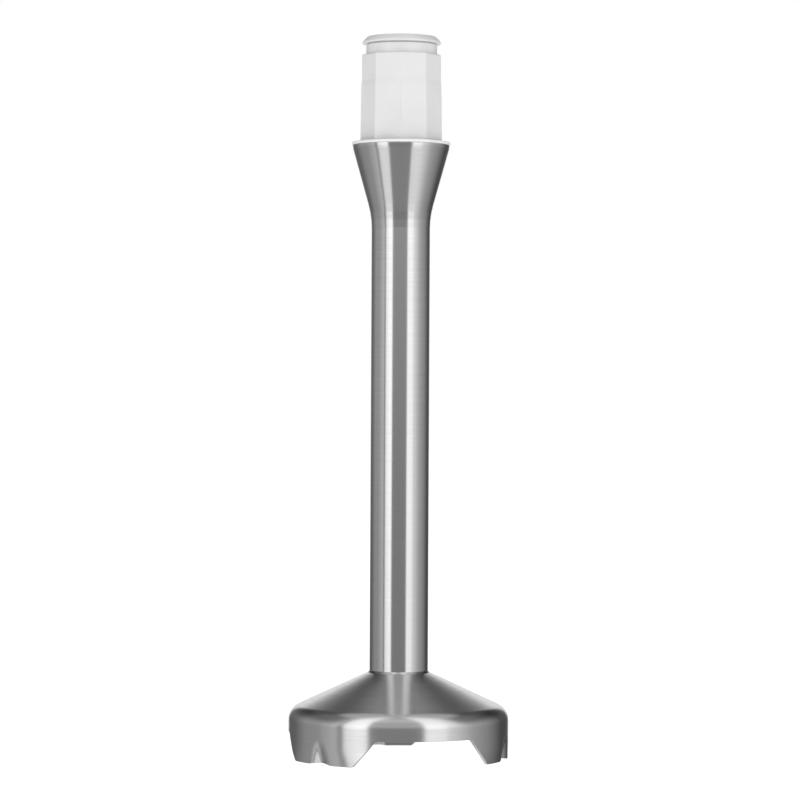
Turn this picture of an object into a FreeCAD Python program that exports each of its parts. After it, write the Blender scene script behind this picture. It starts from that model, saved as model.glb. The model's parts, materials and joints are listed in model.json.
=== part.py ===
import FreeCAD, Part
import math
import os
import Sketcher
from FreeCAD import Placement, Rotation, Vector

# The blending shaft of an immersion blender: the lower half that plugs into a motor handle.
# A stainless tube flares at its top around a white plug, and is welded at its foot to a bell
# with three feet, three windows between them and a pressed flute in the middle of each foot.
# Inside, a drive shaft turns in three bushes and carries the blade.
#
# Millimetres. +Z is up along the drive shaft, z = 0 is the plane that the feet stand on,
# and one window faces -Y. Radii are measured from the drive shaft's axis.

doc = FreeCAD.newDocument("blending_shaft")
sheet = doc.addObject("Spreadsheet::Sheet", "Sizes")


# ---------------------------------------------------------------- sizes

class Size:
    """A number that also knows the expression over the sheet's cells that gives it."""

    def __init__(self, value, text):
        self.value = value
        self.text = text

    def __add__(self, other):
        other = as_size(other)
        return Size(self.value + other.value, f"({self.text} + {other.text})")

    def __sub__(self, other):
        other = as_size(other)
        return Size(self.value - other.value, f"({self.text} - {other.text})")

    def __mul__(self, other):
        other = as_size(other)
        return Size(self.value * other.value, f"({self.text} * {other.text})")

    def __truediv__(self, other):
        other = as_size(other)
        return Size(self.value / other.value, f"({self.text} / {other.text})")

    def __neg__(self):
        return Size(-self.value, f"(0 - {self.text})")


def as_size(number):
    return number if isinstance(number, Size) else Size(float(number), repr(float(number)))


def tangent(angle):
    return Size(math.tan(math.radians(angle.value)), f"tan({angle.text} * 1 deg)")


def sine(angle):
    angle = as_size(angle)
    return Size(math.sin(math.radians(angle.value)), f"sin({angle.text} * 1 deg)")


def cosine(angle):
    angle = as_size(angle)
    return Size(math.cos(math.radians(angle.value)), f"cos({angle.text} * 1 deg)")


def cell(alias, number, meaning):
    """A driving dimension: one row of the sheet, read back as a Size."""
    cell.row += 1
    sheet.set(f"A{cell.row}", meaning)
    sheet.set(f"B{cell.row}", str(number))
    sheet.setAlias(f"B{cell.row}", alias)
    return Size(float(number), f"Sizes.{alias}")


cell.row = 0

# The bell and the tube
bell_radius = cell("bell_radius", 33.1, "outside radius of the bell's wall")
bell_wall = cell("bell_wall", 1.0, "sheet thickness of the bell")
shoulder_height = cell("shoulder_height", 14.45, "height where the cone would meet the wall")
shoulder_round = cell("shoulder_round", 5.0, "outside radius that rounds the shoulder")
cone_slope = cell("cone_slope", 25.0, "slope of the bell's cone above level, degrees")
rim_radius = cell("rim_radius", 33.4, "outside radius at the rim, where the wall eases outwards")
rim_ease = cell("rim_ease", 4.0, "height over which the wall eases outwards")
foot_count = cell("foot_count", 3, "feet, and windows between them")
window_height = cell("window_height", 7.8, "height of a window's top edge")
window_half_base = cell("window_half_base", 20.5, "half the width of a window at the rim")
window_half_top = cell("window_half_top", 14.5, "half the width of a window's top edge")
flute_depth = cell("flute_depth", 1.5, "how far a flute is pressed in at the rim")
flute_half_width = cell("flute_half_width", 4.3, "half the width of a flute at the rim")
flute_height = cell("flute_height", 7.2, "height where a flute runs out")
collar_height = cell("collar_height", 5.9, "length of the bell's collar inside the tube")
weld_leg = cell("weld_leg", 0.5, "width of the weld fillet round the tube's foot")
tube_radius = cell("tube_radius", 8.8, "outside radius of the tube")
tube_wall = cell("tube_wall", 0.8, "wall of the tube")
flare_start = cell("flare_start", 162.4, "height where the flare's line leaves the tube")
flare_angle = cell("flare_angle", 15.7, "half angle of the flare, degrees")
flare_round = cell("flare_round", 26.0, "radius that blends the tube into the flare")
mouth_radius = cell("mouth_radius", 14.57, "outside radius of the flare's mouth")
lip_round = cell("lip_round", 6.0, "radius that blends the flare into its mouth")
mouth_height = cell("mouth_height", 183.9, "height of the flare's mouth")

# The plug at the top
ring_height = cell("ring_height", 0.85, "height of the trim ring that shows")
ring_radius = cell("ring_radius", 14.83, "outside radius of the trim ring")
plug_base_radius = cell("plug_base_radius", 12.6, "corner radius of the plug at its base")
plug_step_radius = cell("plug_step_radius", 12.34, "corner radius of the plug's lower part at its top")
plug_top_radius = cell("plug_top_radius", 12.16, "corner radius of the plug's upper part")
plug_step_height = cell("plug_step_height", 202.2, "height of the step in the plug's sides")
plug_top_height = cell("plug_top_height", 210.9, "height of the plug's top ledge")
plug_turn = cell("plug_turn", -14.7, "turn of the plug from the window that faces -Y, degrees")
neck_radius = cell("neck_radius", 10.68, "radius of the latch groove's floor")
cap_underside = cell("cap_underside", 214.3, "height of the cap's underside")
cap_radius = cell("cap_radius", 11.82, "outside radius of the cap")
cap_top_radius = cell("cap_top_radius", 10.25, "radius of the cap's flat top")
cap_top_height = cell("cap_top_height", 216.4, "height of the cap's top, the highest point")
cap_mouth_radius = cell("cap_mouth_radius", 8.4, "radius of the drive mouth")
cap_sleeve_radius = cell("cap_sleeve_radius", 9.6, "outside radius of the cap's sleeve")
ring_bore = cell("ring_bore", 12.7, "bore of the trim ring")
tongue_inner = cell("tongue_inner", 12.9, "inside radius of the tongue under the trim ring")
tongue_outer = cell("tongue_outer", 13.3, "outside radius of the tongue under the trim ring")
tongue_depth = cell("tongue_depth", 0.6, "depth of the tongue under the trim ring")
skirt_base = cell("skirt_base", 167.5, "lower end of the plug's skirt inside the flare")
skirt_gap = cell("skirt_gap", 0.1, "gap between the plug's skirt and the flare")

# Bearings and drive train
shaft_radius = cell("shaft_radius", 3.0, "radius of the drive shaft")
shaft_top = cell("shaft_top", 204.9, "top end of the drive shaft")
shaft_base = cell("shaft_base", 5.6, "lower end of the drive shaft")
thread_radius = cell("thread_radius", 2.5, "radius of the drive shaft's threaded end")
running_gap = cell("running_gap", 0.03, "radial clearance of the drive shaft in its bushes")
upper_bush_radius = cell("upper_bush_radius", 5.5, "outside radius of the upper bush")
upper_bush_base = cell("upper_bush_base", 188.3, "underside of the upper bush")
upper_bush_top = cell("upper_bush_top", 197.3, "top of the upper bush")
guide_radius = cell("guide_radius", 7.9, "outside radius of the inner guide tube")
guide_bore = cell("guide_bore", 6.5, "bore of the inner guide tube")
guide_base = cell("guide_base", 32.4, "lower end of the inner guide tube")
guide_top = cell("guide_top", 188.2, "top end of the inner guide tube")
centre_bush_height = cell("centre_bush_height", 101.0, "underside of the centre bush")
lower_bush_radius = cell("lower_bush_radius", 4.9, "outside radius of the lower bush")
lower_bush_base = cell("lower_bush_base", 28.0, "underside of the lower bush")
lower_bush_top = cell("lower_bush_top", 40.0, "top of the lower bush")
holder_thread_radius = cell("holder_thread_radius", 5.9, "radius of the holder's neck in the guide tube")
holder_face = cell("holder_face", 18.5, "underside of the lower holder")
holder_radius = cell("holder_radius", 13.5, "outside radius of the lower holder's flange")
holder_ring_radius = cell("holder_ring_radius", 10.4, "radius of the holder's O-ring")
spanner_radius = cell("spanner_radius", 1.1, "radius of the holder's three spanner holes")
seal_cap_radius = cell("seal_cap_radius", 9.0, "outside radius of the seal cap")
seal_cap_top = cell("seal_cap_top", 19.9, "top of the seal cap's seat")
hub_base = cell("hub_base", 9.4, "underside of the blade hub, on the blade")
hub_top = cell("hub_top", 17.2, "top of the blade hub")
hub_radius = cell("hub_radius", 4.0, "radius of the blade hub's neck")
blade_thickness = cell("blade_thickness", 1.2, "thickness of the blade")
blade_reach = cell("blade_reach", 23.5, "radius that a blade's tip sweeps")
coupling_base = cell("coupling_base", 199.3, "underside of the drive coupling")
coupling_top = cell("coupling_top", 213.8, "top of the drive coupling")
coupling_radius = cell("coupling_radius", 7.0, "outside radius of the drive coupling")
socket_radius = cell("socket_radius", 4.6, "radius of the drive socket's round mouth")
spline_radius = cell("spline_radius", 4.4, "radius of the drive socket between its splines")
spline_base = cell("spline_base", 205.5, "floor of the drive socket")
spline_top = cell("spline_top", 210.6, "top of the drive socket's splines")
pin_radius = cell("pin_radius", 0.75, "radius of the cross pins")
ring_cord = cell("ring_cord", 0.9, "radius of the O-rings' cord")

doc.recompute()

# Heights and radii that follow from the driving dimensions
slope = tangent(cone_slope)
tube_bore = tube_radius - tube_wall
bell_bore = bell_radius - bell_wall
sheet_drop = bell_wall / cosine(cone_slope)
flare_slope = tangent(flare_angle)
flare_thickness = tube_wall / cosine(flare_angle)


def cone_height(radius):
    """Height of the bell's outside on its cone, at a radius."""
    return shoulder_height + (bell_radius - radius) * slope


def cone_inside(radius):
    """Height of the bell's inside on its cone, at a radius."""
    return cone_height(radius) - sheet_drop


def flare_inside(height):
    """Radius of the flare's inside, at a height."""
    return tube_radius + (height - flare_start) * flare_slope - flare_thickness


tube_base = cone_height(tube_radius)
collar_top = tube_base + collar_height
mouth_bore = mouth_radius - tube_wall
ring_top = mouth_height + ring_height
ring_level = skirt_base + 9.0
window_pitch = 360.0 / foot_count.value


# ---------------------------------------------------------------- ways of making a piece

def new_body(label):
    body = doc.addObject("PartDesign::Body", label)
    body.Label = label
    return body


def new_sketch(body, role, name, height=None):
    """A sketch on one of the body's own origin planes, raised along the plane's normal."""
    sketch = body.newObject("Sketcher::SketchObject", name)
    plane = [f for f in body.Origin.OriginFeatures if f.Role == role][0]
    sketch.AttachmentSupport = [(plane, "")]
    sketch.MapMode = "FlatFace"
    if height is not None:
        sketch.setExpression(".AttachmentOffset.Base.z", height.text)
    return sketch


def bind(sketch, kind, element, point, size):
    """Fixes one coordinate of a sketch point to an expression."""
    if size.value == 0.0:
        axis = -2 if kind == "DistanceX" else -1
        sketch.addConstraint(Sketcher.Constraint("PointOnObject", element, point, axis))
        return
    number = sketch.addConstraint(
        Sketcher.Constraint(kind, -1, 1, element, point, size.value)
    )
    sketch.setExpression(f"Constraints[{number}]", size.text)


def outline(sketch, points):
    """A closed outline of straight lines whose corners are bound to (x, y) pairs of sizes."""
    points = [(as_size(x), as_size(y)) for x, y in points]
    first = sketch.GeometryCount
    for (x, y), (next_x, next_y) in zip(points, points[1:] + points[:1]):
        start = Vector(x.value, y.value, 0)
        end = Vector(next_x.value, next_y.value, 0)
        sketch.addGeometry(Part.LineSegment(start, end))
    for index, (x, y) in enumerate(points):
        before = first + (index - 1) % len(points)
        line = first + index
        sketch.addConstraint(Sketcher.Constraint("Coincident", before, 2, line, 1))
        bind(sketch, "DistanceX", line, 1, x)
        bind(sketch, "DistanceY", line, 1, y)


def circle(sketch, x, y, radius):
    x, y, radius = as_size(x), as_size(y), as_size(radius)
    centre = Vector(x.value, y.value, 0)
    element = sketch.addGeometry(Part.Circle(centre, Vector(0, 0, 1), radius.value))
    bind(sketch, "DistanceX", element, 3, x)
    bind(sketch, "DistanceY", element, 3, y)
    number = sketch.addConstraint(Sketcher.Constraint("Radius", element, radius.value))
    sketch.setExpression(f"Constraints[{number}]", radius.text)


def turn_profile(body, kind, name, points):
    """A Revolution or a Groove of a (radius, height) outline about the body's Z axis."""
    sketch = new_sketch(body, "XZ_Plane", f"{name}_sketch")
    outline(sketch, points)
    feature = body.newObject(f"PartDesign::{kind}", name)
    feature.Profile = sketch
    feature.ReferenceAxis = (sketch, ["V_Axis"])
    feature.Angle = 360
    body.Tip = feature
    doc.recompute()
    return feature


def turned(label, points):
    """A piece that is one outline turned about Z, as a lathe makes it."""
    body = new_body(label)
    turn_profile(body, "Revolution", f"{label}_turning", points)
    return body


def extrude(body, kind, name, sketch, length=None, both_ways=False, backwards=False):
    """A Pad or a Pocket of a sketch. A length of None cuts through everything."""
    feature = body.newObject(f"PartDesign::{kind}", name)
    feature.Profile = sketch
    if length is None:
        feature.Type = "ThroughAll"
    else:
        feature.setExpression("Length", length.text)
    if both_ways and hasattr(feature, "Midplane"):
        feature.Midplane = True
    feature.Reversed = backwards
    body.Tip = feature
    doc.recompute()
    return feature


def polar(body, name, original, count):
    """Repeats a feature evenly about the body's Z axis."""
    axis = [f for f in body.Origin.OriginFeatures if f.Role == "Z_Axis"][0]
    pattern = body.newObject("PartDesign::PolarPattern", name)
    pattern.Originals = [original]
    pattern.Axis = (axis, [""])
    pattern.Angle = 360
    if isinstance(count, Size):
        pattern.setExpression("Occurrences", count.text)
    else:
        pattern.Occurrences = count
    body.Tip = pattern
    doc.recompute()
    return pattern


def ring_edges(shape, radius, height):
    """Names of the circular edges about Z with that radius and height."""
    found = []
    for number, edge in enumerate(shape.Edges, 1):
        curve = edge.Curve
        if not isinstance(curve, Part.Circle):
            continue
        if abs(curve.Radius - radius.value) < 0.01 and abs(curve.Center.z - height.value) < 0.01:
            found.append(f"Edge{number}")
    return found


def round_ring(body, name, radius, height, amount):
    """Fillets the circular edge of a body at that radius and height."""
    base = body.Tip
    fillet = body.newObject("PartDesign::Fillet", name)
    fillet.Base = (base, ring_edges(base.Shape, radius, height))
    fillet.setExpression("Radius", amount.text)
    body.Tip = fillet
    doc.recompute()


def cross_hole(body, name, radius, height, along_x):
    """A round hole right through the drive axis, along X or along Y."""
    sketch = new_sketch(body, "YZ_Plane" if along_x else "XZ_Plane", f"{name}_sketch")
    circle(sketch, 0, height, radius)
    extrude(body, "Pocket", name, sketch, both_ways=True)


def cross_pin(label, height, length, along_x):
    """A dowel pin through the drive axis, along X or along Y."""
    body = new_body(label)
    sketch = new_sketch(body, "YZ_Plane" if along_x else "XZ_Plane", f"{label}_sketch")
    circle(sketch, 0, height, pin_radius)
    extrude(body, "Pad", f"{label}_pad", sketch, length, both_ways=True)
    return body


def hoop(label, major, minor, height):
    """A ring of round section, such as an O-ring or a garter spring."""
    torus = doc.addObject("Part::Torus", label)
    torus.Label = label
    torus.setExpression("Radius1", as_size(major).text)
    torus.setExpression("Radius2", as_size(minor).text)
    torus.setExpression(".Placement.Base.z", as_size(height).text)
    return torus


# ---------------------------------------------------------------- the bell and the tube

def make_bell_sheet():
    """The deep-drawn sheet with its collar, weld seat, weld fillet and windows, without flutes."""
    body = new_body("bell_sheet")
    weld_toe = tube_radius + weld_leg
    turn_profile(body, "Revolution", "bell_turning", [
        (rim_radius, 0),
        (bell_radius, rim_ease),
        (bell_radius, shoulder_height),
        (weld_toe, cone_height(weld_toe)),
        (tube_radius, tube_base + weld_leg * 0.7),
        (tube_radius, tube_base),
        (tube_bore, tube_base),
        (tube_bore, collar_top),
        (tube_bore - bell_wall, collar_top),
        (tube_bore - bell_wall, cone_inside(tube_bore - bell_wall)),
        (bell_bore, cone_inside(bell_bore)),
        (bell_bore, rim_ease),
        (rim_radius - bell_wall, 0),
    ])
    round_ring(body, "shoulder_outside", bell_radius, shoulder_height, shoulder_round)
    round_ring(body, "shoulder_inside", bell_bore, cone_inside(bell_bore), shoulder_round - bell_wall)

    below_rim = as_size(-2.0)
    lean = (window_half_base - window_half_top) / window_height
    low_half = window_half_base - below_rim * lean
    sketch = new_sketch(body, "XZ_Plane", "window_sketch")
    outline(sketch, [
        (-low_half, below_rim),
        (low_half, below_rim),
        (window_half_top, window_height),
        (-window_half_top, window_height),
    ])
    window = extrude(body, "Pocket", "window", sketch, bell_radius + 5.0, backwards=True)
    polar(body, "windows", window, foot_count)
    return body


def make_bell_envelope():
    """Everything inside the bell's outer surface, which trims the flutes' liners."""
    body = new_body("bell_envelope")
    turn_profile(body, "Revolution", "envelope_turning", [
        (0, 0),
        (bell_radius, 0),
        (bell_radius, shoulder_height),
        (0, cone_height(as_size(0))),
    ])
    return body


def flute_cones(name, extra, base):
    """One upright cone per foot, standing just outside the wall, wider by extra than a flute."""
    chord = flute_half_width * flute_half_width
    reach = (chord / flute_depth + flute_depth) / 2
    standoff = reach - flute_depth
    taper = flute_depth / flute_height
    cones = []
    for index in range(int(foot_count.value)):
        cone = doc.addObject("Part::Cone", f"{name}_{index + 1}")
        cone.setExpression("Radius1", (reach + extra - as_size(base) * taper).text)
        cone.setExpression("Radius2", (standoff + extra - as_size(0.6)).text)
        cone.setExpression("Height", (flute_height + 0.6 / taper.value - as_size(base)).text)
        angle = Size(90.0 + (index + 0.5) * window_pitch - 180.0,
                     repr(90.0 + (index + 0.5) * window_pitch - 180.0))
        distance = bell_radius + standoff
        cone.setExpression(".Placement.Base.x", (distance * cosine(angle)).text)
        cone.setExpression(".Placement.Base.y", (distance * sine(angle)).text)
        cone.setExpression(".Placement.Base.z", as_size(base).text)
        cones.append(cone)
    group = doc.addObject("Part::MultiFuse", name)
    group.Shapes = cones
    return group


def make_bell_guard():
    liners = doc.addObject("Part::Common", "flute_liners_trimmed")
    liners.Base = make_bell_envelope()
    liners.Tool = flute_cones("flute_liners", bell_wall, 0.0)
    lined = doc.addObject("Part::MultiFuse", "bell_lined")
    lined.Shapes = [make_bell_sheet(), liners]
    lined.Refine = True
    bell = doc.addObject("Part::Cut", "bell_guard")
    bell.Label = "bell_guard"
    bell.Base = lined
    bell.Tool = flute_cones("flutes", as_size(0.0), -1.0)
    doc.recompute()
    return bell


def make_shaft_tube():
    lip_outside = flare_start + (mouth_radius - tube_radius) / flare_slope
    lip_inside = flare_start + (mouth_bore - tube_radius + flare_thickness) / flare_slope
    bend_inside = flare_start + (flare_thickness - tube_wall) / flare_slope
    body = turned("shaft_tube", [
        (tube_radius, tube_base),
        (tube_radius, flare_start),
        (mouth_radius, lip_outside),
        (mouth_radius, mouth_height),
        (mouth_bore, mouth_height),
        (mouth_bore, lip_inside),
        (tube_bore, bend_inside),
        (tube_bore, tube_base),
    ])
    round_ring(body, "flare_blend_outside", tube_radius, flare_start, flare_round)
    round_ring(body, "flare_blend_inside", tube_bore, bend_inside, flare_round + tube_wall)
    round_ring(body, "lip_blend_outside", mouth_radius, lip_outside, lip_round)
    round_ring(body, "lip_blend_inside", mouth_bore, lip_inside, lip_round - tube_wall)
    return body


# ---------------------------------------------------------------- the plug at the top

def plug_corners(radius):
    """The plug's ten corners: eight wide flats, and a narrower one on each side."""
    corners = []
    for bearing in (0, 38, 76, 104, 142, 180, 218, 256, 284, 322):
        angle = plug_turn + bearing
        corners.append((radius * sine(angle), -(radius * cosine(angle))))
    return corners


def plug_part(body, name, low, low_radius, high, high_radius):
    """A tapered ten-sided stretch of the plug."""
    sketches = []
    for end, height, radius in (("foot", low, low_radius), ("head", high, high_radius)):
        sketch = new_sketch(body, "XY_Plane", f"{name}_{end}", height)
        outline(sketch, plug_corners(radius))
        sketches.append(sketch)
    loft = body.newObject("PartDesign::AdditiveLoft", name)
    loft.Profile = sketches[0]
    loft.Sections = [sketches[1]]
    loft.Ruled = True
    body.Tip = loft
    doc.recompute()


def make_coupling_housing():
    """The white plug: a skirt inside the flare, the ten-sided plug and the latch groove's neck."""
    body = new_body("coupling_housing")
    slack = 0.05
    groove_half = ring_cord + 0.1
    lip = flare_start + (mouth_bore - tube_radius + flare_thickness) / flare_slope
    turn_profile(body, "Revolution", "housing_skirt", [
        (0, skirt_base),
        (flare_inside(skirt_base) - skirt_gap, skirt_base),
        (mouth_bore - skirt_gap, lip),
        (mouth_bore - skirt_gap, mouth_height),
        (0, mouth_height),
    ])
    plug_part(body, "plug_lower", mouth_height, plug_base_radius, plug_step_height, plug_step_radius)
    plug_part(body, "plug_upper", plug_step_height, plug_top_radius, plug_top_height, plug_top_radius)
    neck = new_sketch(body, "XY_Plane", "neck_sketch", plug_top_height)
    circle(neck, 0, 0, neck_radius)
    extrude(body, "Pad", "neck", neck, cap_underside - plug_top_height)
    turn_profile(body, "Groove", "housing_bore", [
        (0, skirt_base - 1),
        (guide_radius + slack, skirt_base - 1),
        (guide_radius + slack, upper_bush_base),
        (upper_bush_radius, upper_bush_base),
        (upper_bush_radius, upper_bush_top),
        (cap_sleeve_radius, upper_bush_top),
        (cap_sleeve_radius, cap_underside + 1),
        (0, cap_underside + 1),
    ])
    turn_profile(body, "Groove", "tongue_groove", [
        (tongue_inner - slack, mouth_height - tongue_depth - slack),
        (tongue_outer + slack, mouth_height - tongue_depth - slack),
        (tongue_outer + slack, mouth_height),
        (tongue_inner - slack, mouth_height),
    ])
    turn_profile(body, "Groove", "seal_groove", [
        (flare_inside(ring_level) - ring_cord * 2.2, ring_level - groove_half),
        (mouth_radius, ring_level - groove_half),
        (mouth_radius, ring_level + groove_half),
        (flare_inside(ring_level) - ring_cord * 2.2, ring_level + groove_half),
    ])
    return body


def make_housing_o_ring():
    squeeze = (ring_cord + 0.02) / cosine(flare_angle)
    return hoop("housing_o_ring", flare_inside(ring_level) - squeeze, ring_cord, ring_level)


def make_trim_ring():
    """The thin ring between the steel mouth and the motor handle, with a tongue under it."""
    return turned("trim_ring", [
        (ring_bore, mouth_height),
        (tongue_inner, mouth_height),
        (tongue_inner, mouth_height - tongue_depth),
        (tongue_outer, mouth_height - tongue_depth),
        (tongue_outer, mouth_height),
        (ring_radius, mouth_height),
        (ring_radius, ring_top - 0.25),
        (ring_radius - 0.25, ring_top),
        (ring_bore, ring_top),
    ])


def make_coupling_cap():
    """The cap that closes the plug: a bevelled flange that the latches ride over, and a sleeve."""
    return turned("coupling_cap", [
        (cap_mouth_radius, upper_bush_top + 0.5),
        (cap_sleeve_radius, upper_bush_top + 0.5),
        (cap_sleeve_radius, cap_underside),
        (cap_radius, cap_underside),
        (cap_radius, cap_underside + 0.6),
        (cap_radius - 0.32, cap_underside + 1.05),
        (cap_top_radius + 0.65, cap_top_height - 0.5),
        (cap_top_radius, cap_top_height),
        (cap_mouth_radius + 0.6, cap_top_height),
        (cap_mouth_radius, cap_top_height - 0.6),
    ])


# ---------------------------------------------------------------- bearings

def make_inner_guide_tube():
    """The plastic tube inside the steel one. The holder and the plug screw into its ends."""
    return turned("inner_guide_tube", [
        (holder_thread_radius, guide_base),
        (guide_radius, guide_base),
        (guide_radius, guide_top),
        (guide_bore, guide_top),
        (guide_bore, guide_base + 13),
        (holder_thread_radius, guide_base + 12),
    ])


def bush(label, bore, radius, base, top, edge):
    """A plain bush with broken outer edges."""
    return turned(label, [
        (bore, base),
        (radius - edge, base),
        (radius, base + edge),
        (radius, top - edge),
        (radius - edge, top),
        (bore, top),
    ])


def make_bush_clip():
    """The spring washer that the cap's sleeve presses on the upper bush, with six slots."""
    body = turned("bush_clip", [
        (4.6, upper_bush_top),
        (cap_sleeve_radius - 0.1, upper_bush_top),
        (cap_sleeve_radius - 0.1, upper_bush_top + 0.5),
        (4.6, upper_bush_top + 0.5),
    ])
    slot = new_sketch(body, "XY_Plane", "clip_slot", upper_bush_top + 1)
    outline(slot, [(5.8, -0.5), (7.8, -0.5), (7.8, 0.5), (5.8, 0.5)])
    cut = extrude(body, "Pocket", "clip_slot_cut", slot, as_size(2.0))
    polar(body, "clip_slots", cut, 6)
    return body


def make_lower_holder():
    """The bearing holder under the bell's cone, with a neck that screws into the guide tube."""
    gap = 0.1
    groove_half = ring_cord + 0.1
    ring_seat = cone_inside(holder_ring_radius)
    neck = tube_bore - bell_wall - gap
    mouth = shaft_radius + 0.6
    body = turned("lower_holder", [
        (mouth, lower_bush_top),
        (lower_bush_radius, lower_bush_top),
        (lower_bush_radius, lower_bush_base - 1),
        (holder_thread_radius, lower_bush_base - 1),
        (holder_thread_radius, seal_cap_top),
        (seal_cap_radius, seal_cap_top),
        (seal_cap_radius, holder_face),
        (holder_radius - 0.8, holder_face),
        (holder_radius, holder_face + 0.8),
        (holder_radius, cone_inside(holder_radius) - gap),
        (neck, cone_inside(neck) - gap),
        (neck, guide_base - 0.05),
        (holder_thread_radius, guide_base - 0.05),
        (holder_thread_radius, lower_bush_top + 2),
        (mouth, lower_bush_top + 2),
    ])
    turn_profile(body, "Groove", "holder_seal_groove", [
        (holder_ring_radius - groove_half, ring_seat - ring_cord * 2.6),
        (holder_ring_radius + groove_half, ring_seat - ring_cord * 2.6),
        (holder_ring_radius + groove_half, ring_seat + 2),
        (holder_ring_radius - groove_half, ring_seat + 2),
    ])
    spanner = new_sketch(body, "XY_Plane", "spanner_hole", holder_face)
    circle(spanner, (seal_cap_radius + holder_radius - 0.8) / 2, 0, spanner_radius)
    hole = extrude(body, "Pocket", "spanner_hole_cut", spanner, as_size(1.6), backwards=True)
    polar(body, "spanner_holes", hole, 3)
    return body


def make_holder_o_ring():
    drop = (ring_cord + 0.02) / cosine(cone_slope)
    level = cone_inside(holder_ring_radius) - drop
    return hoop("holder_o_ring", holder_ring_radius, ring_cord, level)


def make_shaft_seal():
    """The lip seal above the seal cap, open downwards, with its lip on the drive shaft."""
    lip = shaft_radius + 0.02
    base = seal_cap_top + 0.3
    top = lower_bush_base - 1.2
    return turned("shaft_seal", [
        (holder_thread_radius, base),
        (holder_thread_radius, top),
        (lip + 0.9, top),
        (lip + 0.9, top - 1.2),
        (lip, lip_height + 0.3),
        (lip, lip_height - 0.3),
        (lip + 0.5, lip_height - 1.1),
        (lip + 1.0, lip_height - 1.1),
        (lip + 1.3, top - 1.8),
        (holder_thread_radius - 0.7, top - 1.8),
        (holder_thread_radius - 0.7, base),
    ])


def make_garter_spring():
    """The coil that holds the seal's lip against the drive shaft."""
    wire = 0.35
    return hoop("garter_spring", shaft_radius + 1.13 + wire, wire, lip_height)


def make_seal_cap():
    """The steel disc that shuts the seal in, seen round the blade hub from below."""
    bore = hub_radius + 0.5
    thickness = 0.8
    return turned("seal_cap", [
        (bore, holder_face + 0.2),
        (bore + 0.9, holder_face),
        (seal_cap_radius, holder_face),
        (seal_cap_radius, seal_cap_top),
        (seal_cap_radius - thickness, seal_cap_top),
        (seal_cap_radius - thickness - 0.4, holder_face + thickness),
        (bore + 0.9, holder_face + thickness),
        (bore, holder_face + 0.2 + thickness),
    ])


# ---------------------------------------------------------------- the drive train

lip_height = seal_cap_top + 2.4
clip_level = upper_bush_base - 1.05
clip_thickness = as_size(0.7)
coupling_pin_level = coupling_base + 3.0
hub_pin_level = as_size(15.0)


def make_drive_shaft():
    groove = as_size(2.4)
    body = turned("drive_shaft", [
        (0, shaft_base),
        (thread_radius - 0.3, shaft_base),
        (thread_radius, shaft_base + 0.3),
        (thread_radius, hub_base),
        (shaft_radius, hub_base),
        (shaft_radius, clip_level),
        (groove, clip_level),
        (groove, clip_level + clip_thickness),
        (shaft_radius, clip_level + clip_thickness),
        (shaft_radius, shaft_top - 0.3),
        (shaft_radius - 0.3, shaft_top),
        (0, shaft_top),
    ])
    cross_hole(body, "coupling_pin_hole", pin_radius, coupling_pin_level, True)
    cross_hole(body, "hub_pin_hole", pin_radius, hub_pin_level, False)
    return body


def make_drive_coupling():
    """The moulded socket on top of the drive shaft, with six splines below a round mouth."""
    hub = as_size(6.2)
    body = turned("drive_coupling", [
        (shaft_radius, coupling_base),
        (hub, coupling_base),
        (hub, coupling_base + 5.5),
        (coupling_radius, coupling_base + 6.3),
        (coupling_radius, coupling_top - 0.6),
        (coupling_radius - 0.6, coupling_top),
        (socket_radius + 0.5, coupling_top),
        (socket_radius, coupling_top - 0.5),
        (socket_radius, spline_top + 0.2),
        (spline_radius, spline_top),
        (spline_radius, spline_base),
        (0, spline_base),
        (0, shaft_top),
        (shaft_radius, shaft_top),
    ])
    spline = new_sketch(body, "XY_Plane", "spline_sketch", spline_base)
    circle(spline, spline_radius + 0.15, 0, 0.9)
    rib = extrude(body, "Pad", "spline", spline, spline_top - spline_base)
    polar(body, "splines", rib, 6)
    cross_hole(body, "coupling_cross_hole", pin_radius, coupling_pin_level, True)
    return body


def make_thrust_washer():
    return turned("thrust_washer", [
        (shaft_radius + 0.02, upper_bush_top + 0.1),
        (4.4, upper_bush_top + 0.1),
        (4.4, upper_bush_top + 0.8),
        (shaft_radius + 0.02, upper_bush_top + 0.8),
    ])


def make_spring_washer():
    """A conical spring washer that takes up the drive shaft's end float."""
    low = upper_bush_top + 0.85
    return turned("spring_washer", [
        (shaft_radius + 0.05, low + 0.75),
        (shaft_radius + 0.05, low + 0.45),
        (5.0, low),
        (5.0, low + 0.3),
    ])


def make_shaft_clip():
    """The snap ring in the drive shaft's groove, under the upper bush."""
    body = new_body("shaft_clip")
    sketch = new_sketch(body, "XY_Plane", "clip_outline", clip_level)
    circle(sketch, 0, 0, 5.0)
    circle(sketch, 0, 0, 2.4)
    extrude(body, "Pad", "clip_blank", sketch, clip_thickness)
    gap = new_sketch(body, "XY_Plane", "clip_gap", clip_level + clip_thickness)
    outline(gap, [(0, -1.9), (6, -1.9), (6, 1.9), (0, 1.9)])
    extrude(body, "Pocket", "clip_opening", gap, clip_thickness)
    return body


def make_slinger():
    """The rubber disc on the drive shaft that throws liquid away from the seal."""
    return turned("slinger", [
        (shaft_radius, hub_top),
        (hub_radius, hub_top),
        (7.4, hub_top - 0.5),
        (7.4, hub_top - 0.1),
        (hub_radius + 0.4, hub_top + 0.7),
        (shaft_radius, hub_top + 0.8),
    ])


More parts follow.
